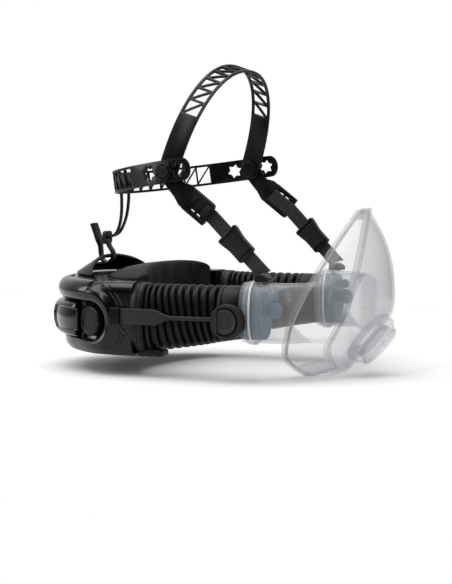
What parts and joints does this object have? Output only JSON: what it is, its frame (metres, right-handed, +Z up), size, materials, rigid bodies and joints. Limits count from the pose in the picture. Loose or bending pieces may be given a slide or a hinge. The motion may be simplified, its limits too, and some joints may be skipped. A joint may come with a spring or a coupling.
{
  "type": "powered air respirator",
  "caption": "Powered air respirator: neck-worn blower unit, two ribbed side ducts, a clear half mask with exhalation valve, and a head harness with crown strap and rear band.",
  "frame": {"origin": "middle of the nape pad's flat contact face, where the unit rests against the back of the neck", "axes": "+Z up, -Y the way the wearer faces, -X the wearer's right"},
  "size_m": [0.1868, 0.2787, 0.2344],
  "materials": {
    "housing_black": "satin to semi-gloss moulded black",
    "cover_gloss": "gloss black",
    "soft_black": "satin black elastomer",
    "pad_black": "soft foam cushion with a smooth skin",
    "strap_black": "satin black flexible moulding",
    "webbing_black": "ribbed black webbing",
    "clear_silicone": "clear to milky silicone",
    "port_white": "translucent white",
    "flap_blue": "matte",
    "filter_white": "pleated paper",
    "frame_grey": "matte moulded",
    "cell_blue": "shrink-wrapped can",
    "board_green": "solder mask",
    "steel": "bright",
    "window_smoke": "tinted window"
  },
  "bodies": {
    "unit": {"outer_casing": "housing_black", "inner_casing": "housing_black", "strap_slider_right": "soft_black", "strap_slider_left": "soft_black", "side_strap_right": "soft_black", "side_strap_left": "soft_black", "duct_cuff_right": "soft_black", "duct_cuff_left": "soft_black", "duct_bellows_right": "soft_black", "duct_bellows_left": "soft_black", "nape_pad": "pad_black", "crown_strap": "strap_black", "pivot_peg_right": "strap_black", "pivot_peg_left": "strap_black", "ladder_buckle_right": "strap_black", "ladder_buckle_left": "strap_black", "nape_strap": "strap_black", "harness_bridge": "strap_black", "cheek_webbing_right": "webbing_black", "cheek_webbing_left": "webbing_black", "blower_scroll": "frame_grey", "charge_socket": "frame_grey", "battery_cell_right": "cell_blue", "battery_cell_left": "cell_blue", "control_board": "board_green", "blower_motor": "steel", "casing_screw_right": "steel", "casing_screw_left": "steel", "status_window": "window_smoke"},
    "impeller": {"impeller": "frame_grey", "motor_shaft": "steel"},
    "filter_cover": {"filter_cover": "cover_gloss", "filter_frame": "frame_grey", "filter_media": "filter_white", "filter_seal": "soft_black"},
    "power_button": {"power_button": "soft_black"},
    "charge_plug": {"charge_plug": "soft_black"},
    "latch_knob_right": {"latch_knob_right": "soft_black"},
    "latch_knob_left": {"latch_knob_left": "soft_black"},
    "rear_band": {"rear_band": "strap_black", "nape_stud": "strap_black"},
    "strap_keeper_right": {"strap_keeper_right": "strap_black"},
    "strap_keeper_left": {"strap_keeper_left": "strap_black"},
    "mask": {"mask_shell": "clear_silicone", "face_seal": "clear_silicone", "valve_seat": "clear_silicone", "valve_cover": "clear_silicone", "port_band_right": "port_white", "port_band_left": "port_white", "duct_nozzle_right": "soft_black", "duct_nozzle_left": "soft_black", "clip_body_right": "soft_black", "clip_body_left": "soft_black", "cheek_hook_right": "strap_black", "cheek_hook_left": "strap_black"},
    "valve_flap": {"valve_flap": "clear_silicone"},
    "inlet_flap_right": {"inlet_flap_right": "flap_blue"},
    "inlet_flap_left": {"inlet_flap_left": "flap_blue"},
    "release_pad_right": {"release_pad_right": "soft_black"},
    "release_pad_left": {"release_pad_left": "soft_black"}
  },
  "joints": [
    {"name": "impeller_spin", "type": "hinge", "parent": "unit", "child": "impeller", "pos_m": [0, 0.0425, -0.0025], "axis": [0, 1, 0], "continuous": true},
    {"name": "filter_cover_pull", "type": "slide", "parent": "unit", "child": "filter_cover", "axis": [0, 1, 0], "range_m": [0, 0.04]},
    {"name": "power_button_press", "type": "slide", "parent": "unit", "child": "power_button", "axis": [0, 0, -1], "range_m": [0, 0.0012], "stiffness_N_per_m": 400},
    {"name": "charge_plug_pull", "type": "slide", "parent": "unit", "child": "charge_plug", "axis": [0, 0, -1], "range_m": [0, 0.012]},
    {"name": "latch_knob_press_right", "type": "slide", "parent": "unit", "child": "latch_knob_right", "axis": [0.9, -0.4358, 0], "range_m": [0, 0.0015], "stiffness_N_per_m": 600},
    {"name": "latch_knob_press_left", "type": "slide", "parent": "unit", "child": "latch_knob_left", "axis": [-0.9, -0.4358, 0], "range_m": [0, 0.0015], "stiffness_N_per_m": 600},
    {"name": "rear_band_tilt", "type": "hinge", "parent": "unit", "child": "rear_band", "pos_m": [0, -0.035, 0.11], "axis": [1, 0, 0], "range_deg": [-12, 12], "deforming": ["nape_strap"]},
    {"name": "strap_keeper_slide_right", "type": "slide", "parent": "unit", "child": "strap_keeper_right", "axis": [0.0363, -0.7047, -0.7086], "range_m": [-0.006, 0.006]},
    {"name": "strap_keeper_slide_left", "type": "slide", "parent": "unit", "child": "strap_keeper_left", "axis": [-0.0363, -0.7047, -0.7086], "range_m": [-0.006, 0.006]},
    {"name": "mask_swing", "type": "hinge", "parent": "unit", "child": "mask", "pos_m": [0, -0.05, 0.003], "axis": [1, 0, 0], "range_deg": [-5, 8], "stiffness_Nm_per_rad": 12, "deforming": ["duct_bellows_right", "duct_bellows_left", "side_strap_right", "side_strap_left", "cheek_webbing_right", "cheek_webbing_left"]},
    {"name": "valve_flap_lift", "type": "slide", "parent": "mask", "child": "valve_flap", "axis": [0, -0.775, -0.632], "range_m": [0, 0.0015], "stiffness_N_per_m": 60},
    {"name": "inlet_flap_swing_right", "type": "hinge", "parent": "mask", "child": "inlet_flap_right", "pos_m": [-0.0716, -0.1128, 0.02725], "axis": [-1, 0, 0], "range_deg": [0, 12], "stiffness_Nm_per_rad": 0.01},
    {"name": "inlet_flap_swing_left", "type": "hinge", "parent": "mask", "child": "inlet_flap_left", "pos_m": [0.0716, -0.1128, 0.02725], "axis": [-1, 0, 0], "range_deg": [0, 12], "stiffness_Nm_per_rad": 0.01},
    {"name": "release_pad_press_right", "type": "slide", "parent": "mask", "child": "release_pad_right", "axis": [1, 0, 0], "range_m": [0, 0.0012], "stiffness_N_per_m": 500},
    {"name": "release_pad_press_left", "type": "slide", "parent": "mask", "child": "release_pad_left", "axis": [-1, 0, 0], "range_m": [0, 0.0012], "stiffness_N_per_m": 500}
  ]
}
